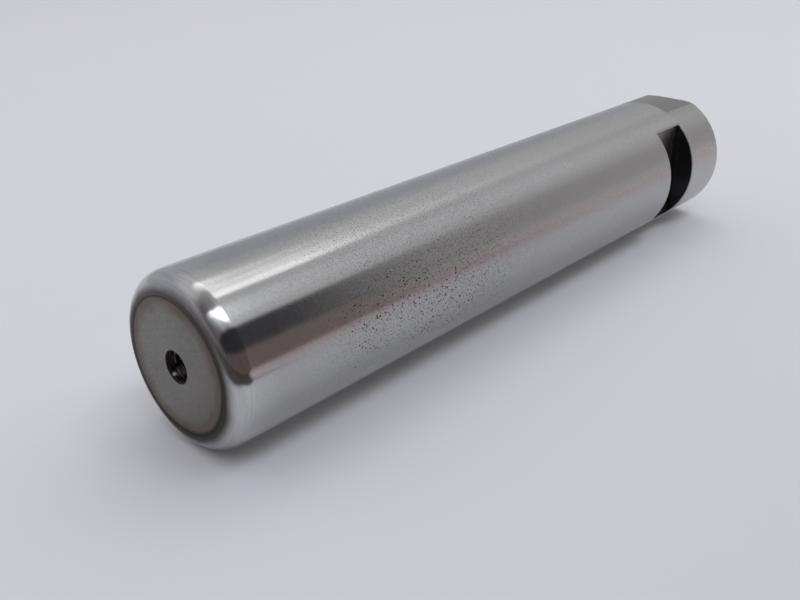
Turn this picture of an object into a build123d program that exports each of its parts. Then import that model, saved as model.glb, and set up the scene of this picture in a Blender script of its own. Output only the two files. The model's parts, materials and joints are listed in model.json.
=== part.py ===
from build123d import *
import math
import os

# Fulcrum pin, turned and ground from one bar. Lengths are in millimetres.
# The pin stands on its head end. Z is its axis, and z = 0 is the plain faced head end.
# Above it come the head, with a flat on its +X side, the keeper slot, cut in from the -Y side,
# and the ground shank, which ends in a rounded nose with a tapped hole.

# Turned and ground body
pin_diameter = 25.0
pin_length = 128.0
nose_radius = 2.8
head_end_chamfer = 0.8

# Head and the flat milled along it
head_length = 12.0
head_flat_depth = 1.1
flat_shoulder_radius = 0.5

# Slot for a keeper plate, which stops the pin from turning and from working out
keeper_plate_thickness = 8.0
keeper_plate_clearance = 0.5
keeper_slot_depth = 4.5
keeper_slot_corner_radius = 0.4
keeper_slot_edge_break = 0.2

# Tapped hole in the nose, for the screw that draws the pin out
thread_diameter = 5.0
thread_pitch = 0.8
tapped_hole_depth = 15.0
drill_point_angle = 118.0
tapped_hole_mouth_chamfer = 0.27

# How far each cutter runs past the work
cutter_overrun = 2.0

# Sizes that follow from these
pin_radius = pin_diameter / 2
head_flat_x = pin_radius - head_flat_depth
keeper_slot_width = keeper_plate_thickness + 2 * keeper_plate_clearance
keeper_slot_floor_y = -(pin_radius - keeper_slot_depth)
keeper_slot_middle_z = head_length + keeper_slot_width / 2
tap_drill_radius = (thread_diameter - thread_pitch) / 2
drill_point_length = tap_drill_radius / math.tan(math.radians(drill_point_angle / 2))


def turned_body():
    """The bar as it leaves the lathe: half of its section, turned about Z."""
    nose_start_z = pin_length - nose_radius
    nose_face_radius = pin_radius - nose_radius
    head_end_radius = pin_radius - head_end_chamfer
    with BuildPart() as body:
        with BuildSketch(Plane.XZ):
            with BuildLine():
                Polyline(
                    (0, pin_length),
                    (0, 0),
                    (head_end_radius, 0),
                    (pin_radius, head_end_chamfer),
                    (pin_radius, nose_start_z),
                )
                CenterArc((nose_face_radius, nose_start_z), nose_radius, 0, 90)
                Line((nose_face_radius, pin_length), (0, pin_length))
            make_face()
        revolve(axis=Axis.Z)
    return body.part


def tapped_hole():
    """The drilled hole with its point, and the small countersink at its mouth."""
    floor_z = pin_length - tapped_hole_depth
    mouth_radius = tap_drill_radius + tapped_hole_mouth_chamfer
    with BuildPart() as hole:
        with BuildSketch(Plane.XZ):
            with BuildLine():
                Polyline(
                    (0, floor_z - drill_point_length),
                    (tap_drill_radius, floor_z),
                    (tap_drill_radius, pin_length - tapped_hole_mouth_chamfer),
                    (mouth_radius, pin_length),
                    (mouth_radius, pin_length + cutter_overrun),
                    (0, pin_length + cutter_overrun),
                    close=True,
                )
            make_face()
        revolve(axis=Axis.Z)
    return hole.part


def keeper_slot():
    """The straight cut across the -Y side, with the cutter's small corner radii at its floor."""
    cut_depth = keeper_slot_depth + cutter_overrun
    with BuildPart() as slot:
        with Locations((0, keeper_slot_floor_y - cut_depth / 2, keeper_slot_middle_z)):
            Box(pin_diameter + 2 * cutter_overrun, cut_depth, keeper_slot_width)
        floor_edges = slot.edges().filter_by(Axis.X).group_by(Axis.Y)[-1]
        fillet(floor_edges, keeper_slot_corner_radius)
    return slot.part


def head_flat():
    """The cut that leaves the flat along the head, with a small radius at its shoulder."""
    cut_depth = head_flat_depth + cutter_overrun
    cut_length = head_length + cutter_overrun
    with BuildPart() as flat:
        with Locations((head_flat_x + cut_depth / 2, 0, head_length - cut_length / 2)):
            Box(cut_depth, pin_diameter + 2 * cutter_overrun, cut_length)
        shoulder_edge = flat.edges().filter_by(Axis.Y).group_by(Axis.X)[0].sort_by(Axis.Z)[-1]
        fillet(shoulder_edge, flat_shoulder_radius)
    return flat.part


def keeper_slot_mouth_edges(slotted_body):
    """The edges where the slot breaks through the round of the pin."""
    mouth_edges = []
    for edge in slotted_body.edges():
        middle = edge.position_at(0.5)
        on_the_round = abs(math.hypot(middle.X, middle.Y) - pin_radius) < 0.001
        at_the_slot = abs(middle.Z - keeper_slot_middle_z) < keeper_slot_width / 2 + 0.001
        if on_the_round and at_the_slot:
            mouth_edges.append(edge)
    return mouth_edges


def fulcrum_pin():
    """The whole pin. The slot's sharp edges are broken before the flat is cut along the head."""
    slotted_body = turned_body() - tapped_hole() - keeper_slot()
    eased_body = chamfer(keeper_slot_mouth_edges(slotted_body), keeper_slot_edge_break)
    return eased_body - head_flat()


os.makedirs("parts", exist_ok=True)
export_step(fulcrum_pin(), "parts/fulcrum_pin.step")
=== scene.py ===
import json
import math

import bmesh
import bpy
from mathutils import Matrix, Vector


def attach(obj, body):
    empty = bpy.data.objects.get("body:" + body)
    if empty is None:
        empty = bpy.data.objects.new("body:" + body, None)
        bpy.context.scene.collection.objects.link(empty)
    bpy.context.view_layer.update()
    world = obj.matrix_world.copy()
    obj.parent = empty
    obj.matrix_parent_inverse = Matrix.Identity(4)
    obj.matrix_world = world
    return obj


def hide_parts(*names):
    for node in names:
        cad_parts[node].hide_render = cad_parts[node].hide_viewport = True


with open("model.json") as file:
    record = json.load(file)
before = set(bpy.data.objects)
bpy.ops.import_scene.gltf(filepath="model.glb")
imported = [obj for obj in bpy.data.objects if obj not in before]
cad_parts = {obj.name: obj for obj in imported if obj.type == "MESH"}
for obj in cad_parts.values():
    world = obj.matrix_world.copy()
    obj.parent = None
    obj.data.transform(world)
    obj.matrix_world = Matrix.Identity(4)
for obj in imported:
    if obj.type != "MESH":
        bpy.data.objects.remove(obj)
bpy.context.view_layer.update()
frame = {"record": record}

# A ground steel fulcrum pin. It stands on its head end, with its nose up and its flat towards +X.
# The paper that it is shown on touches its -X side, as if the pin lay there with its flat up.

MM = 0.001

# Sizes of the pin, from its frame
MOUNTS = {mount["name"]: mount for mount in frame["record"]["mounts"]}
PIN_RADIUS = MOUNTS["shank"]["dims"]["r_mm"] * MM
PIN_LENGTH = MOUNTS["nose_face"]["pos_m"][2]
ROUND_LENGTH = MOUNTS["shank"]["dims"]["length_mm"] * MM
HEAD_CHAMFER = MOUNTS["shank"]["pos_m"][2] - ROUND_LENGTH / 2
NOSE_RADIUS = PIN_LENGTH - HEAD_CHAMFER - ROUND_LENGTH
HEAD_FLAT_X = MOUNTS["head_flat"]["pos_m"][0]
SLOT_FLOOR_Y = MOUNTS["keeper_slot_floor"]["pos_m"][1]
SLOT_MIDDLE_Z = MOUNTS["keeper_slot_floor"]["pos_m"][2]
HOLE_RADIUS = MOUNTS["nose_thread"]["dims"]["r_mm"] * MM

# Sizes of the pin that its frame doesn't name
SLOT_WIDTH = 9.0 * MM
SLOT_CORNER_RADIUS = 0.4 * MM
SLOT_EDGE_BREAK = 0.2 * MM
FLAT_SHOULDER_RADIUS = 0.5 * MM
HOLE_DEPTH = 15.0 * MM
HOLE_MOUTH_CHAMFER = 0.27 * MM
DRILL_POINT_ANGLE = math.radians(118)

# The thread, which the frame leaves out. Where its groove reaches the bore and where it reaches its root
# are shares of half a pitch, from the middle of the groove.
THREAD_PITCH = 0.8 * MM
THREAD_DEPTH = 0.4 * MM
THREAD_LENGTH = 12.0 * MM
THREAD_START = 0.1 * THREAD_PITCH
THREAD_RUN_IN = 0.6 * THREAD_PITCH
THREAD_RUN_OUT = THREAD_PITCH
GROOVE_MOUTH = 0.626
GROOVE_ROOT = 0.266

# How finely the meshes are divided
SEGMENT_ANGLE = math.radians(1.9)
HEAD_ROWS = 3
SHANK_ROWS = 12
NOSE_ROWS = 24
THREAD_ROWS_PER_TURN = 12
CORNER_SEGMENTS = 5
EDGE_BREAK_SEGMENTS = 2

# How close counts as touching, and how far two faces are turned from each other at an edge
TOUCHING = 0.001 * MM
ON_THE_ROUND = 0.01 * MM
MOUTH_EDGE_ANGLE = math.radians(20)
SHARP_ANGLE = math.radians(25)

# Heights that follow from these
HEAD_LENGTH = SLOT_MIDDLE_Z - SLOT_WIDTH / 2
SLOT_TOP = SLOT_MIDDLE_Z + SLOT_WIDTH / 2
NOSE_START = PIN_LENGTH - NOSE_RADIUS


# ---------------------------------------------------------------- the pin's form

def angles_around():
    """Angles round the pin from +X, with a line along each edge of the flat and of the slot."""
    flat_half = math.acos(HEAD_FLAT_X / PIN_RADIUS)
    slot_half = math.acos(-SLOT_FLOOR_Y / PIN_RADIUS)
    slot_centre = math.radians(270)
    corners = [-flat_half, flat_half, slot_centre - slot_half, slot_centre + slot_half]
    corners.append(corners[0] + math.tau)
    angles = []
    for start, end in zip(corners, corners[1:]):
        steps = 2 * math.ceil((end - start) / SEGMENT_ANGLE / 2)
        angles.extend(start + (end - start) * step / steps for step in range(steps))
    return angles


def turned_profile():
    """Radius and height of each ring on the turned outside, from the head end up to the nose face."""
    profile = [(PIN_RADIUS - HEAD_CHAMFER, 0.0), (PIN_RADIUS, HEAD_CHAMFER)]
    for start, end, rows in (
        (HEAD_CHAMFER, HEAD_LENGTH, HEAD_ROWS),
        (HEAD_LENGTH, SLOT_TOP, 1),
        (SLOT_TOP, NOSE_START, SHANK_ROWS),
    ):
        profile.extend((PIN_RADIUS, start + (end - start) * row / rows) for row in range(1, rows + 1))
    for row in range(1, NOSE_ROWS + 1):
        turn = math.pi / 2 * row / NOSE_ROWS
        radius = PIN_RADIUS - NOSE_RADIUS + NOSE_RADIUS * math.cos(turn)
        profile.append((radius, NOSE_START + NOSE_RADIUS * math.sin(turn)))
    return profile


def ring(mesh, angles, radius_at, z):
    """A ring of points at one height; radius_at gives the radius at each angle."""
    points = []
    for angle in angles:
        radius = radius_at(angle)
        points.append(mesh.verts.new((radius * math.cos(angle), radius * math.sin(angle), z)))
    return points


def join_rings(mesh, lower, upper):
    """A band of faces between two rings, each upper point spanning one or more lower ones."""
    share = len(lower) // len(upper)
    for index in range(len(upper)):
        following = (index + 1) % len(upper)
        span = [lower[(index * share + step) % len(lower)] for step in range(share + 1)]
        mesh.faces.new(span + [upper[following], upper[index]])


def share_of(part, whole):
    """How far along a stretch something is, from 0 to 1."""
    return min(1.0, max(0.0, part / whole))


def thread_depth(angle, depth):
    """How deep the thread is cut into the hole's wall, at one angle and one depth below the nose face."""
    run_in = share_of(depth - THREAD_START, THREAD_RUN_IN)
    run_out = share_of(THREAD_LENGTH - depth, THREAD_RUN_OUT)
    phase = (depth / THREAD_PITCH + angle / math.tau) % 1.0
    from_groove = abs(2 * phase - 1)
    flank = share_of(GROOVE_MOUTH - from_groove, GROOVE_MOUTH - GROOVE_ROOT)
    return THREAD_DEPTH * run_in * run_out * flank


def bore_tapped_hole(mesh, angles, nose_ring):
    """The nose face, and the tapped hole in the middle of it down to its drilled point."""
    fewer_angles = angles[::2]
    mouth_radius = HOLE_RADIUS + HOLE_MOUTH_CHAMFER
    above = ring(mesh, fewer_angles, lambda angle: mouth_radius, PIN_LENGTH)
    join_rings(mesh, nose_ring, above)
    rows = round(THREAD_LENGTH / THREAD_PITCH * THREAD_ROWS_PER_TURN)
    depths = [THREAD_LENGTH * row / rows for row in range(1, rows + 1)] + [HOLE_DEPTH]
    for depth in depths:
        chamfer = max(0.0, HOLE_MOUTH_CHAMFER - depth)

        def wall(angle):
            return HOLE_RADIUS + max(chamfer, thread_depth(angle, depth))

        below = ring(mesh, fewer_angles, wall, PIN_LENGTH - depth)
        join_rings(mesh, above, below)
        above = below
    point_length = HOLE_RADIUS / math.tan(DRILL_POINT_ANGLE / 2)
    point = mesh.verts.new((0, 0, PIN_LENGTH - HOLE_DEPTH - point_length))
    for index, vertex in enumerate(above):
        mesh.faces.new((vertex, above[(index + 1) % len(above)], point))


def within(geometry, low, high):
    """Whether all of a face or an edge lies between two heights."""
    return all(low - TOUCHING < vertex.co.z < high + TOUCHING for vertex in geometry.verts)


def mill_away(mesh, low, high, point, direction):
    """Cuts off what lies beyond a plane, between two heights, and leaves the cut open."""
    band = [face for face in mesh.faces if within(face, low, high)]
    split = bmesh.ops.split(mesh, geom=band)["geom"]
    bmesh.ops.bisect_plane(
        mesh, geom=split, dist=TOUCHING, plane_co=point, plane_no=direction, clear_outer=True
    )
    bmesh.ops.remove_doubles(mesh, verts=mesh.verts[:], dist=TOUCHING)


def open_edges(mesh):
    """The edges round an open cut."""
    return [edge for edge in mesh.edges if edge.is_boundary]


def open_points_at(mesh, height, axis):
    """The points round an open cut that lie at one height, in order along an axis."""
    points = {vertex for edge in open_edges(mesh) for vertex in edge.verts}
    level = [vertex for vertex in points if abs(vertex.co.z - height) < TOUCHING]
    return sorted(level, key=lambda vertex: vertex.co[axis])


def close_cut(mesh):
    """Closes what is left open of a cut, with a plane face."""
    bmesh.ops.holes_fill(mesh, edges=open_edges(mesh), sides=0)
    bmesh.ops.recalc_face_normals(mesh, faces=mesh.faces[:])


def ease(mesh, edges, size, segments):
    """Rounds edges off, or fills a corner, by a radius."""
    bmesh.ops.bevel(
        mesh, geom=edges, offset=size, offset_type="OFFSET", segments=segments, profile=0.5, affect="EDGES"
    )


def cut_keeper_slot(mesh):
    """The slot: its floor and its two walls, with round corners between them."""
    mill_away(mesh, HEAD_LENGTH, SLOT_TOP, (0, SLOT_FLOOR_Y, 0), (0, -1, 0))
    outlines = [open_points_at(mesh, height, 0) for height in (HEAD_LENGTH, SLOT_TOP)]
    for outline in outlines:
        mesh.faces.new(outline)
    close_cut(mesh)
    floor_edges = [
        edge for edge in mesh.edges
        if within(edge, HEAD_LENGTH, SLOT_TOP) and edge.calc_length() > PIN_RADIUS
        and all(abs(vertex.co.y - SLOT_FLOOR_Y) < TOUCHING for vertex in edge.verts)
    ]
    ease(mesh, floor_edges, SLOT_CORNER_RADIUS, CORNER_SEGMENTS)


def is_mouth_edge(edge):
    """Whether the slot breaks through the round of the pin at an edge."""
    on_the_round = all(
        abs(math.hypot(vertex.co.x, vertex.co.y) - PIN_RADIUS) < ON_THE_ROUND for vertex in edge.verts
    )
    at_the_slot = within(edge, HEAD_LENGTH, SLOT_TOP) and len(edge.link_faces) == 2
    return on_the_round and at_the_slot and edge.calc_face_angle() > MOUTH_EDGE_ANGLE


def cut_head_flat(mesh):
    """The flat along the head, with a small radius up to its shoulder."""
    mill_away(mesh, 0, HEAD_LENGTH, (HEAD_FLAT_X, 0, 0), (1, 0, 0))
    shoulder = open_points_at(mesh, HEAD_LENGTH, 1)
    mesh.faces.new(shoulder)
    close_cut(mesh)
    corner = [edge for edge in mesh.edges if {shoulder[0], shoulder[-1]} == set(edge.verts)]
    ease(mesh, corner, FLAT_SHOULDER_RADIUS, CORNER_SEGMENTS)


def pin_mesh():
    """The whole pin as one closed mesh."""
    mesh = bmesh.new()
    angles = angles_around()
    below = None
    for radius, height in turned_profile():
        above = ring(mesh, angles, lambda angle: radius, height)
        if below is None:
            mesh.faces.new(reversed(above))
        else:
            join_rings(mesh, below, above)
        below = above
    bore_tapped_hole(mesh, angles, below)
    cut_keeper_slot(mesh)
    mouth = [edge for edge in mesh.edges if is_mouth_edge(edge)]
    ease(mesh, mouth, SLOT_EDGE_BREAK, EDGE_BREAK_SEGMENTS)
    cut_head_flat(mesh)
    bmesh.ops.recalc_face_normals(mesh, faces=mesh.faces[:])
    data = bpy.data.meshes.new("fulcrum_pin_steel")
    mesh.to_mesh(data)
    mesh.free()
    return data


# ---------------------------------------------------------------- finishes

class Value:
    """A socket in a finish. It is added to, taken from and multiplied as a number is in plain Python."""

    def __init__(self, finish, socket):
        self.finish = finish
        self.socket = socket

    def maths(self, operation, first, second):
        return self.finish.node("ShaderNodeMath", {"operation": operation}, {0: first, 1: second})

    def __add__(self, other):
        return self.maths("ADD", self, other)

    def __radd__(self, other):
        return self.maths("ADD", other, self)

    def __sub__(self, other):
        return self.maths("SUBTRACT", self, other)

    def __rsub__(self, other):
        return self.maths("SUBTRACT", other, self)

    def __mul__(self, other):
        return self.maths("MULTIPLY", self, other)

    def __rmul__(self, other):
        return self.maths("MULTIPLY", other, self)


class Tree:
    """The nodes of a material or of the world."""

    def __init__(self, owner):
        owner.use_nodes = True
        self.tree = owner.node_tree

    def join(self, value, socket):
        if isinstance(value, Value):
            self.tree.links.new(value.socket, socket)
        else:
            socket.default_value = value

    def node(self, kind, settings, inputs, output=0):
        """A node of any kind: its settings first, then its sockets' values or links."""
        made = self.tree.nodes.new(kind)
        for name, value in settings.items():
            setattr(made, name, value)
        for name, value in inputs.items():
            self.join(value, made.inputs[name])
        return Value(self, made.outputs[output])

    def vector(self, operation, inputs, output=0):
        return self.node("ShaderNodeVectorMath", {"operation": operation}, inputs, output)

    def place(self, scale=(1, 1, 1)):
        """Where a point is on the pin, in millimetres, stretched by scale."""
        spot = self.node("ShaderNodeTexCoord", {}, {}, "Object")
        return self.vector("MULTIPLY", {0: spot, 1: tuple(share / MM for share in scale)})

    def part(self, vector, axis):
        return self.node("ShaderNodeSeparateXYZ", {}, {0: vector}, axis)

    def height(self):
        """How high a point is above the pin's head end, in millimetres."""
        return self.part(self.place(), "Z")

    def from_axis(self):
        """How far a point is from the pin's axis, in millimetres."""
        return self.vector("LENGTH", {0: self.place((1, 1, 0))}, "Value")

    def towards(self, angle):
        """How far a point is from the axis towards one side, in millimetres: 0 degrees is the flat's side,
        90 the slot's."""
        turn = math.radians(angle)
        side = (math.cos(turn), -math.sin(turn), 0.0)
        return self.vector("DOT_PRODUCT", {0: self.place(), 1: side}, "Value")

    def noise(self, vector, scale, detail=2.0, roughness=0.5):
        return self.node(
            "ShaderNodeTexNoise", {"noise_dimensions": "3D"},
            {"Vector": vector, "Scale": scale, "Detail": detail, "Roughness": roughness},
        )

    def near(self, spot, reach):
        """1 close to one spot on the pin, in millimetres, and 0 beyond reach."""
        away = self.vector("DISTANCE", {0: self.place(), 1: spot}, "Value")
        return self.ramp(away, reach, reach * 0.4)

    def spots(self, spacing, radius):
        """Scattered round spots of at most one radius, in millimetres: 1 inside a spot and 0 outside."""
        away = self.node(
            "ShaderNodeTexVoronoi", {"voronoi_dimensions": "3D", "feature": "F1"},
            {"Vector": self.place(), "Scale": 1 / spacing}, "Distance",
        )
        return self.ramp(away * spacing, radius, radius * 0.6)

    def ramp(self, value, low, high, start=0.0, end=1.0):
        """Follows value smoothly from start, at low, to end, at high."""
        return self.node(
            "ShaderNodeMapRange", {"interpolation_type": "SMOOTHSTEP", "clamp": True},
            {"Value": value, "From Min": low, "From Max": high, "To Min": start, "To Max": end},
        )

    def stretch(self, value, start, full, fading, end):
        """1 where value lies between full and fading, and 0 before start and beyond end."""
        return self.ramp(value, start, full) * self.ramp(value, end, fading)

    def blend(self, share, first, second):
        """A colour between two others."""
        return self.node(
            "ShaderNodeMix", {"data_type": "RGBA"}, {0: share, 6: first, 7: second}, 2
        )

    def shade(self, colour, share):
        """A colour made lighter or darker by a share of itself."""
        return self.vector("SCALE", {0: colour, "Scale": share})

    def relief(self, height, depth):
        """The surface's slope where a height, from 0 to 1, stands for a depth in metres."""
        return self.node("ShaderNodeBump", {}, {"Strength": 1.0, "Distance": depth, "Height": height})


def either(first, second):
    """Two shares together, as one thin coat laid over another."""
    return 1.0 - (1.0 - first) * (1.0 - second)


class Finish(Tree):
    """A material, built from nodes round its own surface shader."""

    def __init__(self, name, **constants):
        self.material = bpy.data.materials.new(name)
        super().__init__(self.material)
        self.shader = self.tree.nodes["Principled BSDF"]
        self.set(**constants)

    def set(self, **values):
        """Sets or links the shader's own sockets: base_color means Base Color."""
        for name, value in values.items():
            self.join(value, self.shader.inputs[name.replace("_", " ").title().replace("Ior", "IOR")])


# Steel, from bright to rusted. Ground steel shines in a streak across its grinding lines.
POLISHED_STEEL = (0.54, 0.54, 0.54, 1)
STEEL = (0.47, 0.472, 0.475, 1)
DULL_STEEL = (0.435, 0.430, 0.425, 1)
STAINED_STEEL = (0.36, 0.33, 0.31, 1)
# Rust brown, also used as the painted shade of the dark line where the polished nose starts
RUST_AND_SHADE_BROWN = (0.030, 0.024, 0.020, 1)
GROUND = {"metallic": 1.0, "anisotropic": 0.85, "anisotropic_rotation": 0.25}

# Colours of single features. A pair of greys is clouded from one to the other.
# The nose's brown rim, painted lighter on the flat's side
RIM_PAINTED_LIGHT_BROWN = (0.090, 0.078, 0.070, 1)
RIM_BROWN = (0.055, 0.045, 0.040, 1)
FACE_GREYS = ((0.275, 0.272, 0.252, 1), (0.235, 0.225, 0.208, 1))
FACE_BROWN = (0.165, 0.137, 0.116, 1)
FACE_RIM = (0.035, 0.030, 0.028, 1)
THREAD_BROWN = (0.34, 0.29, 0.265, 1)
THREAD_BLACK = (0.030, 0.021, 0.019, 1)
# Painted light in the tapped hole: a lit grey patch and a white glint
LIT_PATCH_GREY = (0.50, 0.50, 0.48, 1)
GLINT_WHITE = (0.95, 0.95, 0.92, 1)
SLOT_WALL_GREYS = ((0.12, 0.12, 0.125, 1), (0.08, 0.08, 0.085, 1))
SLOT_FLOOR_GREYS = ((0.235, 0.220, 0.214, 1), (0.18, 0.168, 0.162, 1))
# Near black, for painted shade in the slot
SHADE_BLACK = (0.010, 0.010, 0.011, 1)
FLAT_GREYS = ((0.29, 0.29, 0.265, 1), (0.25, 0.25, 0.235, 1))
# The flat's paler grey, painted light away from the slot
FLAT_PAINTED_LIGHT_GREY = (0.36, 0.36, 0.34, 1)

# Stretches of the shank, in millimetres up the pin: where each starts, is full, begins to fade and ends
WORN_STRETCH = (44.0, 86.0, 99.0, 125.5)
FINE_PIT_STRETCH = (40.0, 82.0, 103.0, 127.0)

# Rust pits, in millimetres: how far apart they are, how large at most, and how much of each is rust
LARGE_PITS = (0.60, 0.20, 0.95)
SMALL_PITS = (0.42, 0.110, 0.90)
FINE_PITS = (0.31, 0.086, 0.75)
NO_PIT = 0.0001
PIT_DEPTH = 0.004 * MM

# A dark line of painted shade, with a small groove, on the flat's side of the pin where the polished nose
# starts, in millimetres above that edge
SEAM_TOP = 0.16
SEAM_FULL = 0.04
SEAM_DEPTH = 0.012 * MM

# Spots just inside the hole's mouth, in millimetres: two patches of painted light, and a painted glint
LIT_THREAD_PATCH = (-1.78, 1.45, 126.5)
LIT_MOUTH_PATCH = (-0.32, 2.28, 126.9)
PAINTED_GLINT_SPOT = (-1.84, 1.38, 127.45)

# How deep the marks of turning, milling and facing look
TURNING_DEPTH = 0.014 * MM
SLOT_MARK_DEPTH = 0.010 * MM
FLAT_MARK_DEPTH = 0.006 * MM
FACING_DEPTH = 0.006 * MM


def rust_pits(finish, height, worn):
    """Pits of three sizes: large ones only where the wear is worst, and fine ones over a longer stretch."""
    worst = finish.ramp(finish.towards(88), 8.5, 12.3) * finish.ramp(height, 66.0, 88.0)
    cluster = finish.ramp(finish.noise(finish.place(), scale=0.55), 0.30, 0.60, start=0.25, end=1.0)
    fine = finish.stretch(height, *FINE_PIT_STRETCH) * finish.ramp(finish.towards(62), -2.0, 9.0)
    kinds = ((worn * worst * cluster, LARGE_PITS), (worn * cluster, SMALL_PITS), (fine, FINE_PITS))
    return sum(
        finish.spots(spacing, share * radius + NO_PIT) * rust for share, (spacing, radius, rust) in kinds
    )


def ground_steel():
    """The shank and head: fine lines round them from the grinding wheel, duller towards the head, with a worn
    and pitted patch on the slot's side. Painted light makes the side turned from the slot towards the flat
    darker near the nose and lighter towards the head. Painted shading makes the head lighter towards the slot
    and the paper, and darker on its other side."""
    finish = Finish("ground_steel", **GROUND)
    height = finish.height()
    lines = finish.noise(finish.place((0.3, 0.3, 1.0)), scale=3.5, detail=3.0, roughness=0.7)
    cloud = finish.noise(finish.place(), scale=0.12, detail=3.0)
    speckle = finish.noise(finish.place(), scale=5.0, detail=3.0, roughness=0.7)
    worn = finish.ramp(finish.towards(90), 3.0, 12.2) * finish.stretch(height, *WORN_STRETCH)
    worn = worn * finish.ramp(cloud, 0.30, 0.55, start=0.7, end=1.0)
    pitted = rust_pits(finish, height, worn)

    head = finish.ramp(height, 13.0, 11.0)
    shank = finish.blend(cloud * 0.7 + head * 0.3, STEEL, DULL_STEEL)
    clean = finish.blend(finish.ramp(height, 120.0, 126.5), shank, POLISHED_STEEL)
    coarse = finish.ramp(height, 40.0, 95.0) * finish.ramp(height, 128.0, 98.0, start=0.45, end=1.0)
    grain = 1.0 + (speckle - 0.5) * (coarse * 0.8 + 0.06) + (lines - 0.5) * 0.16
    # Painted light: the side turned from the slot towards the flat, darker near the nose and lighter towards
    # the head
    far_side_painted_light = finish.ramp(finish.towards(-60), 6.5, 9.5)
    far_side_painted_light = far_side_painted_light * finish.ramp(height, 124.0, 66.0, start=-0.22, end=0.22)
    # Painted shading: the head lighter towards the slot and the paper, darker on its other side
    head_painted_shading = head * finish.ramp(finish.towards(110), -2.0, 12.0, start=-0.12, end=0.14)
    # From here on, grain also carries the painted light and shading above
    grain = grain * (1.0 + far_side_painted_light + head_painted_shading) * (1.0 - worn * 0.06)
    dullness = finish.ramp(height, 126.0, 55.0, start=0.16, end=0.265)
    finish.set(
        base_color=finish.blend(pitted, finish.shade(clean, grain), RUST_AND_SHADE_BROWN),
        roughness=dullness + (lines - 0.5) * 0.08 + pitted * 0.25,
        normal=finish.relief(1.0 - pitted, PIT_DEPTH),
    )
    return finish.material


def polished_steel():
    """The nose radius: bright where it meets the shank and dark brown where it meets the nose face. On the
    flat's side it has a painted dark line at the shank's edge, and its brown is painted lighter there.
    """
    finish = Finish("polished_nose", **GROUND)
    patch = finish.noise(finish.place(), scale=0.35, detail=3.0)
    lines = finish.noise(finish.place((0.05, 0.05, 1.0)), scale=4.0, detail=4.0, roughness=0.6)
    rim = finish.ramp(finish.from_axis() + (patch - 0.5) * 0.4, 11.6, 9.95)
    # Painted light: the brown rim lighter on the flat's side
    rim_colour = finish.blend(finish.ramp(finish.towards(10), 3.0, 8.0), RIM_BROWN, RIM_PAINTED_LIGHT_BROWN)
    above_edge = finish.height() - NOSE_START / MM
    # Painted shade: a dark line along the edge of the polished nose, on the flat's side only
    seam_groove_and_painted_shade = finish.ramp(above_edge, SEAM_TOP, SEAM_FULL) * finish.ramp(finish.towards(-30), 7.0, 11.5)
    steel = finish.blend(seam_groove_and_painted_shade * 0.35, POLISHED_STEEL, RUST_AND_SHADE_BROWN)
    finish.set(
        base_color=finish.blend(rim, finish.shade(steel, 0.75 + lines * 0.5), rim_colour),
        roughness=rim * 0.30 + lines * 0.06 + 0.09,
        normal=finish.relief(1.0 - seam_groove_and_painted_shade, SEAM_DEPTH),
    )
    return finish.material


def turning_rings(finish):
    """Fine rings round the pin's axis, left by a facing tool."""
    around = finish.node("ShaderNodeCombineXYZ", {}, {0: finish.from_axis()})
    return finish.noise(around, scale=2.5, detail=5.0, roughness=0.7)


def turned_face():
    """The nose face: matt grey with faint turning rings, brown and then nearly black towards the rim. Both
    the brown and the black reach further in on the side towards the paper and the slot, as painted shade.
    """
    finish = Finish("turned_nose_face", metallic=1.0, anisotropic=0.35, anisotropic_rotation=0.25)
    radius = finish.from_axis()
    rings = turning_rings(finish)
    cloud = finish.noise(finish.place(), scale=0.25, detail=4.0, roughness=0.6)
    speckle = finish.noise(finish.place(), scale=2.6, detail=4.0, roughness=0.75)
    grain = 1.0 + (speckle - 0.5) * 0.9 + (rings - 0.5) * 0.35
    grey = finish.shade(finish.blend(cloud, *FACE_GREYS), grain)
    stain_and_painted_shade = finish.ramp(radius + (cloud - 0.5) * 3.0, 7.2, 9.5)
    # Painted shade: more brown on the side towards the paper and the slot
    stain_and_painted_shade = stain_and_painted_shade + finish.ramp(finish.towards(130), 0.0, 9.0) * 0.5
    # Painted shade: the nearly black rim widened on the side towards the paper
    rim = finish.ramp(radius + finish.ramp(finish.towards(145), 3.0, 9.0) * 0.4, 9.2, 9.74)
    face = finish.blend(rim, finish.blend(stain_and_painted_shade, grey, FACE_BROWN), FACE_RIM)
    finish.set(
        base_color=finish.blend(finish.spots(1.3, 0.13) * 0.45, face, RUST_AND_SHADE_BROWN),
        roughness=0.50 + (rings - 0.5) * 0.14,
        normal=finish.relief(rings, TURNING_DEPTH),
    )
    return finish.material


def threaded_wall():
    """The tapped hole: brown threads below a black mouth, and black again deep down, with two patches of
    painted light and a painted glint."""
    finish = Finish("thread")
    height = finish.height()
    dirt_and_patch_noise = finish.noise(finish.place(), scale=1.5, detail=3.0, roughness=0.6)
    mouth = finish.ramp(height, 127.0, 127.5)
    dark = finish.ramp(height, 125.5, 118.0, start=0.2, end=0.8) + mouth * 0.75
    wall = finish.blend(dark, THREAD_BROWN, THREAD_BLACK)
    # Painted light: two lit patches on the hole's wall, broken up by noise
    painted_light_patch = finish.near(LIT_THREAD_PATCH, 1.0) * finish.ramp(dirt_and_patch_noise, 0.35, 0.65, start=0.25, end=0.8)
    painted_light_patch = painted_light_patch + finish.near(LIT_MOUTH_PATCH, 0.75) * 0.35
    # Painted highlight: a white glint on the first thread
    painted_glint = finish.near(PAINTED_GLINT_SPOT, 0.46)
    finish.set(
        base_color=finish.blend(painted_glint, finish.blend(painted_light_patch, wall, LIT_PATCH_GREY), GLINT_WHITE),
        roughness=0.16 + dirt_and_patch_noise * 0.25 + mouth * 0.3 + painted_light_patch * 0.2,
        metallic=1.0 - painted_light_patch * 0.5 - painted_glint,
    )
    return finish.material


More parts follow.
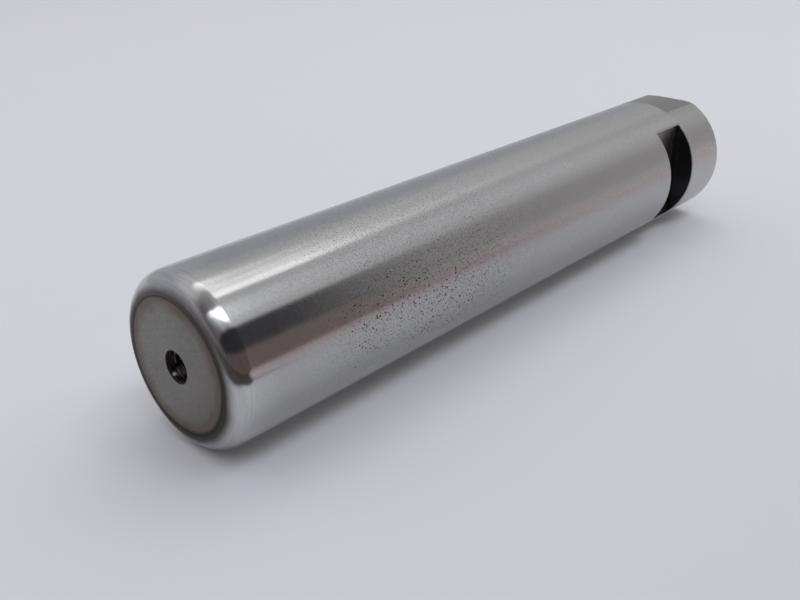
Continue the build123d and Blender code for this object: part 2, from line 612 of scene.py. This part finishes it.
def slot_steel():
    """The keeper slot: walls left dark by the heat treatment, and a paler floor with the cutter's marks.
    Painted shade makes it near black on the side away from the flat and in the corner where the floor meets
    the head's wall, and fades the floor into the walls' colour towards that wall and that side."""
    finish = Finish("keeper_slot_steel", specular_ior_level=0.1)
    height = finish.height()
    to_flat = finish.towards(0)
    above_floor = finish.towards(90) + SLOT_FLOOR_Y / MM
    marks = finish.noise(finish.place((1.0, 0.3, 0.3)), scale=3.0, detail=4.0, roughness=0.7)
    cloud = finish.noise(finish.place(), scale=0.6, detail=3.0)
    # The floor's paler colour fades out towards the head's wall and away from the flat, as painted shade
    floor = finish.ramp(above_floor, 0.12, 0.02) * finish.ramp(height, 15.5, 20.5)
    floor = floor * finish.ramp(to_flat, -3.0, 6.0)
    # Painted shade: near black and less metallic away from the flat, and in the floor's corner by the head's
    # wall
    painted_shade = finish.ramp(to_flat, 0.0, -7.0) * 0.85
    painted_shade = painted_shade + finish.ramp(above_floor, 0.8, 0.3) * finish.ramp(height, 14.0, 12.6)
    wall = finish.blend(painted_shade, finish.blend(cloud, *SLOT_WALL_GREYS), SHADE_BLACK)
    finish.set(
        base_color=finish.blend(floor, wall, finish.blend(cloud, *SLOT_FLOOR_GREYS)),
        metallic=1.0 - painted_shade * 0.9,
        roughness=0.36 + (marks - 0.5) * 0.2 + painted_shade * 0.4,
        normal=finish.relief(marks, SLOT_MARK_DEPTH),
    )
    return finish.material


def milled_flat():
    """The flat on the head: matt, with the cutter's marks across it, and paler away from the slot as painted
    light.
    """
    finish = Finish("milled_flat", metallic=1.0)
    marks = finish.noise(finish.place((0.3, 0.1, 1.0)), scale=2.5, detail=4.0, roughness=0.7)
    cloud = finish.noise(finish.place(), scale=0.3, detail=3.0)
    # Painted light: the flat paler away from the slot
    painted_light_side = finish.ramp(finish.towards(-90), -2.0, 6.0)
    finish.set(
        base_color=finish.blend(painted_light_side, finish.blend(cloud, *FLAT_GREYS), FLAT_PAINTED_LIGHT_GREY),
        roughness=0.42 + (marks - 0.5) * 0.15,
        normal=finish.relief(marks, FLAT_MARK_DEPTH),
    )
    return finish.material


def faced_end():
    """The head end and its chamfer: faced in the lathe, with faint rings."""
    finish = Finish("faced_head_end", **GROUND)
    rings = turning_rings(finish)
    cloud = finish.noise(finish.place(), scale=0.2, detail=3.0)
    finish.set(
        base_color=finish.blend(cloud, DULL_STEEL, STAINED_STEEL),
        roughness=0.34 + (rings - 0.5) * 0.12,
        normal=finish.relief(rings, FACING_DEPTH),
    )
    return finish.material


FINISHES = {
    "ground": ground_steel,
    "polished": polished_steel,
    "face": turned_face,
    "thread": threaded_wall,
    "slot": slot_steel,
    "flat": milled_flat,
    "end": faced_end,
}


def finish_name(face):
    """Which finish a face of the pin has, by where it lies."""
    middle = face.center
    radius = math.hypot(middle.x, middle.y)
    if radius < HOLE_RADIUS + THREAD_DEPTH and middle.z > PIN_LENGTH / 2:
        return "thread"
    if middle.z > PIN_LENGTH - TOUCHING:
        return "face"
    if middle.z > NOSE_START:
        return "polished"
    if middle.z < HEAD_CHAMFER:
        return "end" if middle.x < HEAD_FLAT_X - TOUCHING else "flat"
    on_the_round = radius > PIN_RADIUS - SLOT_EDGE_BREAK
    if not on_the_round and middle.z > HEAD_LENGTH - TOUCHING and middle.y < 0:
        return "slot"
    if not on_the_round and middle.x > PIN_RADIUS / 2:
        return "flat"
    return "ground"


def show(name, data):
    """An object in the scene, with one mesh, light or camera."""
    thing = bpy.data.objects.new(name, data)
    bpy.context.scene.collection.objects.link(thing)
    return thing


def make_pin():
    """The pin, shaded as the true round that its facets stand for."""
    data = pin_mesh()
    names = list(FINISHES)
    for name in names:
        data.materials.append(FINISHES[name]())
    for polygon in data.polygons:
        polygon.material_index = names.index(finish_name(polygon))
        polygon.use_smooth = True
    data.set_sharp_from_angle(angle=SHARP_ANGLE)
    for edge in data.edges:
        if all(abs(data.vertices[corner].co.z - NOSE_START) < TOUCHING for corner in edge.vertices):
            edge.use_edge_sharp = True
    pin = show("pin", data)
    weighted = pin.modifiers.new("even shading", "WEIGHTED_NORMAL")
    weighted.keep_sharp = True
    return pin


# ---------------------------------------------------------------- paper, light and camera

PAPER_SIZE = 4.0
# How strongly the paper glows near the pin's contact, seen only in reflections: painted light
PAPER_GLOW = 0.12
PAPER_COLOUR = (0.93, 0.93, 0.955, 1)
# Colours that only reflections see in the paper: a painted warm edge and a painted dark patch
MIRRORED_WARM_COLOUR = (1.0, 0.84, 0.83, 1)
MIRRORED_DARK_COLOUR = (0.13, 0.115, 0.11, 1)
ROOM_COLOUR = (0.655, 0.655, 0.665, 1)
FAR_SIDE_COLOUR = (0.455, 0.465, 0.51, 1)
HEAD_SIDE_COLOUR = (0.575, 0.57, 0.57, 1)
GAP_COLOUR = (0.46, 0.46, 0.47, 1)
CAMERA_SIDE_COLOUR = (0.51, 0.49, 0.50, 1)
HORIZON_COLOUR = (0.63, 0.60, 0.60, 1)
BEYOND_NOSE_COLOUR = (0.144, 0.13, 0.137, 1)
BACKGROUND_COLOUR = (0.66, 0.66, 0.68, 1)
BLACK = (0, 0, 0, 1)
WHITE = (1, 1, 1, 1)

# Where the mirrored paper changes, in millimetres along the pin and across towards the camera's side: its
# painted warm edge, the painted dark patch before the nose and beside it, and the pin's contact with the
# paper, where it glows
WARM_EDGE_ACROSS = (50.0, 84.0)
MIRRORED_DARK_BEFORE_NOSE = (170.0, 194.0)
MIRRORED_DARK_SLANT = 0.62
MIRRORED_DARK_BESIDE_ALONG = (84.0, 108.0)
MIRRORED_DARK_BESIDE_ACROSS = (48.0, 64.0)
CONTACT_ALONG = (-2.0, 5.0, 120.0, 127.0)
CONTACT_ACROSS = (11.0, 7.0)

# Where the room changes from one colour to the next: turns round the pin, in degrees from straight over the
# paper towards the camera's side, and heights, from -1 straight beyond the head to 1 straight beyond the nose
HEAD_SIDE_HEIGHTS = (-0.69, -0.77)
GAP_TURNS = (-16, -6, 6, 14)
GAP_HEIGHTS = (-0.52, -0.42)
FAR_SIDE_TURNS = (-32, -62)
CAMERA_SIDE_TURNS = (36, 50)
HORIZON_TURNS = (74, 86)
BEYOND_NOSE_TURNS = (-21, 9)
BEYOND_NOSE_WIDENING = 29.8
BEYOND_NOSE_START = (-0.25, 0.0)
BEYOND_NOSE_DEEPENING = (0.0, 0.95, 0.50, 1.0)
BEYOND_NOSE_ALL_ROUND = (0.5, 0.9, 0.0, 0.45)


def seen_by(tree, ray):
    """1 for one kind of light path, such as Is Camera Ray, and 0 for the others."""
    return tree.node("ShaderNodeLightPath", {}, {}, ray)


def make_paper():
    """The sheet under the pin's side. From behind it isn't seen, so that it never hides the pin. In the pin's
    reflections alone, it shows painted reflections: dark beyond the nose and beside it, and warmer near its
    edge. A painted glow lightens the pin's mirrored contact shadow."""
    half = PAPER_SIZE / 2
    corners = [(-PIN_RADIUS, y, z) for y, z in ((-half, -half), (half, -half), (half, half), (-half, half))]
    data = bpy.data.meshes.new("paper")
    data.from_pydata(corners, [], [(0, 1, 2, 3)])
    finish = Finish("paper", roughness=0.9, specular_ior_level=0.2, emission_strength=PAPER_GLOW)
    across, along = finish.towards(90), finish.height()
    mirrored = seen_by(finish, "Is Glossy Ray")

    # Painted reflections, seen only in the pin: a dark patch beyond and beside the nose, and warmer paper
    # near the edge
    before_nose = finish.ramp(along + across * MIRRORED_DARK_SLANT, *MIRRORED_DARK_BEFORE_NOSE)
    beside_nose = finish.ramp(across, *MIRRORED_DARK_BESIDE_ACROSS) * finish.ramp(along, *MIRRORED_DARK_BESIDE_ALONG)
    warm_edge = mirrored * finish.ramp(across, *WARM_EDGE_ACROSS)
    warm = finish.blend(warm_edge, PAPER_COLOUR, MIRRORED_WARM_COLOUR)
    mirrored_dark = mirrored * either(before_nose, beside_nose)
    from_contact = finish.node("ShaderNodeMath", {"operation": "ABSOLUTE"}, {0: across})
    contact = finish.ramp(from_contact, *CONTACT_ACROSS) * finish.stretch(along, *CONTACT_ALONG)
    # Painted light: in reflections the paper glows near the pin's contact, lightening its mirrored shadow
    finish.set(
        base_color=finish.blend(mirrored_dark, warm, MIRRORED_DARK_COLOUR),
        emission_color=finish.blend(mirrored * contact, BLACK, WHITE),
    )

    behind = finish.node("ShaderNodeNewGeometry", {}, {}, "Backfacing")
    clear = finish.node("ShaderNodeBsdfTransparent", {}, {})
    sheet = Value(finish, finish.shader.outputs[0])
    hidden = behind * seen_by(finish, "Is Camera Ray")
    mixed = finish.node("ShaderNodeMixShader", {}, {0: hidden, 1: sheet, 2: clear})
    finish.join(mixed, finish.tree.nodes["Material Output"].inputs["Surface"])
    data.materials.append(finish.material)
    paper = show("paper", data)


def make_room():
    """Pale light from all round: dark beyond the nose, darker on the far side and on the camera's side, and
    light again at its horizon. The pin mirrors it darker over its head, and in a gap over the paper."""
    world = bpy.data.worlds.new("room")
    bpy.context.scene.world = world
    room = Tree(world)
    direction = room.node("ShaderNodeTexCoord", {}, {}, "Generated")
    height = room.part(direction, "Z")
    sideways = -1.0 * room.part(direction, "Y")
    turn = math.degrees(1) * room.node(
        "ShaderNodeMath", {"operation": "ARCTAN2"}, {0: sideways, 1: room.part(direction, "X")}
    )
    mirrored = seen_by(room, "Is Glossy Ray")

    over_head = mirrored * room.ramp(height, *HEAD_SIDE_HEIGHTS)
    gap = mirrored * room.stretch(turn, *GAP_TURNS) * room.ramp(height, *GAP_HEIGHTS)
    over_nose = room.ramp(turn + height * height * BEYOND_NOSE_WIDENING, *BEYOND_NOSE_TURNS)
    over_nose = over_nose * room.ramp(height, *BEYOND_NOSE_START) * room.ramp(height, *BEYOND_NOSE_DEEPENING)
    light = ROOM_COLOUR
    for share, colour in (
        (over_head, HEAD_SIDE_COLOUR),
        (gap, GAP_COLOUR),
        (room.ramp(turn, *FAR_SIDE_TURNS), FAR_SIDE_COLOUR),
        (room.ramp(turn, *CAMERA_SIDE_TURNS), CAMERA_SIDE_COLOUR),
        (room.ramp(turn, *HORIZON_TURNS), HORIZON_COLOUR),
        (either(over_nose, room.ramp(height, *BEYOND_NOSE_ALL_ROUND)), BEYOND_NOSE_COLOUR),
        (seen_by(room, "Is Camera Ray"), BACKGROUND_COLOUR),
    ):
        light = room.blend(share, light, colour)
    room.join(light, room.tree.nodes["Background"].inputs["Color"])


def beside_pin(distance, angle, lean):
    """A place off the pin's nose, at a distance from its axis. Angles are in degrees: angle turns from
    straight over the paper towards the camera's side, and lean tips back along the pin to its head."""
    turn = math.radians(angle)
    back = math.tan(math.radians(lean))
    return Vector((0, 0, PIN_LENGTH)) + distance * Vector((math.cos(turn), -math.sin(turn), -back))


def facing_pin(thing, start, end):
    """Sets a thing halfway between two places, its own Y along them, turned to the pin's axis."""
    middle = (start + end) / 2
    along = (end - start).normalized()
    outward = Vector((middle.x, middle.y, 0))
    outward = (outward - outward.dot(along) * along).normalized()
    thing.location = middle
    thing.rotation_mode = "QUATERNION"
    thing.rotation_quaternion = Matrix((along.cross(outward), along, outward)).transposed().to_quaternion()


# How far the boxes of light stand from the pin's axis, in metres
LAMP_DISTANCE = 0.5

# How many flat pieces stand for a bent panel, between two of its rows and across it
PANEL_STEPS = 4
PANEL_COLUMNS = 6


def make_lamp(name, angle, leans, width, brightness):
    """A long soft box at one angle, between two leans. Brightness is what a mirror would show of it."""
    start, end = (beside_pin(LAMP_DISTANCE, angle, lean) for lean in leans)
    length = (end - start).length
    data = bpy.data.lights.new(name, "AREA")
    data.shape = "RECTANGLE"
    data.size = width
    data.size_y = length
    data.energy = brightness * math.pi * width * length
    facing_pin(show(name, data), start, end)


def panel_rows(edges):
    """The rows of a panel, with steps put in between those that are given."""
    rows = []
    for row, following in zip(edges, edges[1:]):
        for step in range(PANEL_STEPS):
            share = step / PANEL_STEPS
            rows.append(tuple(here + (there - here) * share for here, there in zip(row, following)))
    rows.append(edges[-1])
    return rows


def make_panel(name, edges, brightness, colour, distance, rise, fall, fade):
    """A soft-edged panel that the pin mirrors and the camera looks through. Each of its edges' rows is
    (lean, first angle, last angle). It fades in over rise and out from fall, as shares of its width, and
    out from fade, as a share of its length."""
    rows = panel_rows(edges)
    corners, places = [], []
    for number, (lean, first, last) in enumerate(rows):
        for column in range(PANEL_COLUMNS + 1):
            across = column / PANEL_COLUMNS
            corners.append(beside_pin(distance, first + (last - first) * across, lean))
            places.append((across, number / (len(rows) - 1)))
    wide = PANEL_COLUMNS + 1
    faces = [
        (corner, corner + 1, corner + wide + 1, corner + wide)
        for row in range(len(rows) - 1) for corner in range(row * wide, row * wide + PANEL_COLUMNS)
    ]
    data = bpy.data.meshes.new(name)
    data.from_pydata(corners, [], faces)
    layer = data.uv_layers.new(name="panel")
    for loop in data.loops:
        layer.data[loop.index].uv = places[loop.vertex_index]
    finish = Finish(name, base_color=BLACK, specular_ior_level=0.0, emission_strength=brightness)
    spot = finish.node("ShaderNodeUVMap", {"uv_map": "panel"}, {})
    across, along = finish.part(spot, "X"), finish.part(spot, "Y")
    shape = finish.stretch(across, 0.0, rise, fall, 1.0) * finish.ramp(along, 1.0, fade)
    finish.set(emission_color=colour, alpha=shape)
    data.materials.append(finish.material)
    panel = show(name, data)
    panel.visible_camera = False


# The window's boxes of light lie one over another, each with its own first angle, width in metres and
# brightness, so that it grows brighter towards the last angle, which they share
WINDOW_LAST_ANGLE = 1
SILL_ANGLE = -13.5
WINDOW_LEANS = (26, 39.5)
WINDOW_BOXES = ((-28, 0.25, 0.32), (-18, 0.16, 0.45), (-8, 0.07, 0.55))
SILL_LEANS = (26, 33)


def make_window():
    """The window over the pin, its sill, its bright edge, and the haze beside it."""
    for first_angle, width, brightness in WINDOW_BOXES:
        make_lamp("window", (first_angle + WINDOW_LAST_ANGLE) / 2, WINDOW_LEANS, width, brightness)
    make_lamp("window sill", SILL_ANGLE, SILL_LEANS, width=0.25, brightness=0.35)
    make_panel(
        "window edge", ((29, -35, -8), (15, -30, -8), (0, -28, -8), (-12, -27, -8), (-24, -27, -8)),
        brightness=1.70, colour=WHITE, distance=1.2, rise=0.35, fall=0.25, fade=0.1,
    )
    make_panel(
        "window haze", ((50, -22, 6), (31, -22, 6)),
        brightness=0.79, colour=WHITE, distance=1.2, rise=0.4, fall=0.6, fade=0.5,
    )


def make_strip_lamp():
    """The strip lamp beside the window, and its glow."""
    make_panel(
        "strip lamp", (
            (24, 11, 38), (0, 12, 37), (-10, 13.4, 32.5), (-20, 11.7, 28),
            (-30, 8.7, 23), (-40, 5.5, 18.5), (-50, 0.3, 13), (-70, -14, 4),
        ),
        brightness=3.3, colour=(0.88, 0.92, 1.0, 1), distance=1.2, rise=0.26, fall=0.60, fade=0.10,
    )
    make_panel(
        "strip lamp glow", ((-2, 12, 44), (-20, 11, 47), (-40, 6, 42), (-66, -4, 42)),
        brightness=1.35, colour=(0.88, 0.90, 1.0, 1), distance=1.25, rise=0.2, fall=0.1, fade=0.4,
    )


def make_dark_things():
    """What the pin mirrors dark on the camera's side: a black card, and a brown wall farther round."""
    make_panel(
        "dark card", ((41, 38, 77), (-72, 38, 77)),
        brightness=0.040, colour=(0.90, 0.87, 1.0, 1), distance=0.27, rise=0.16, fall=0.80, fade=0.9,
    )
    make_panel(
        "dark wall", ((31, 64, 112), (-72, 64, 112)),
        brightness=0.13, colour=(1.0, 0.77, 0.74, 1), distance=0.20, rise=0.24, fall=0.97, fade=0.9,
    )
    make_panel(
        "brown wall", ((45.5, 64, 108), (42, 64, 111), (37, 64, 109.5), (31, 64, 110)),
        brightness=0.22, colour=(1.0, 0.80, 0.77, 1), distance=0.20, rise=0.24, fall=0.97, fade=0.95,
    )


CAMERA_FROM_NOSE = Vector((57.59, -86.15, 51.20)) * MM
CAMERA_PITCH = math.radians(26.56)
CAMERA_HEADING = math.radians(42.83)
CAMERA_LENS = 39.67
CAMERA_SENSOR = 36.0
CAMERA_NEAREST = 5.0 * MM


def make_camera():
    """The camera, level with the paper."""
    data = bpy.data.cameras.new("camera")
    data.lens = CAMERA_LENS
    data.sensor_width = CAMERA_SENSOR
    data.clip_start = CAMERA_NEAREST
    forward = Vector((
        -math.sin(CAMERA_PITCH),
        math.cos(CAMERA_PITCH) * math.sin(CAMERA_HEADING),
        -math.cos(CAMERA_PITCH) * math.cos(CAMERA_HEADING),
    ))
    right = forward.cross(Vector((1, 0, 0))).normalized()
    up = right.cross(forward)
    camera = show("camera", data)
    camera.location = Vector((0, 0, PIN_LENGTH)) + CAMERA_FROM_NOSE
    camera.rotation_mode = "QUATERNION"
    camera.rotation_quaternion = Matrix((right, up, -forward)).transposed().to_quaternion()
    bpy.context.scene.camera = camera


# ---------------------------------------------------------------- the scene

pin = make_pin()
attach(pin, "root")
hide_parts("fulcrum_pin")

make_paper()
make_room()
make_window()
make_strip_lamp()
make_dark_things()
make_camera()
bpy.context.scene.view_settings.view_transform = "Standard"
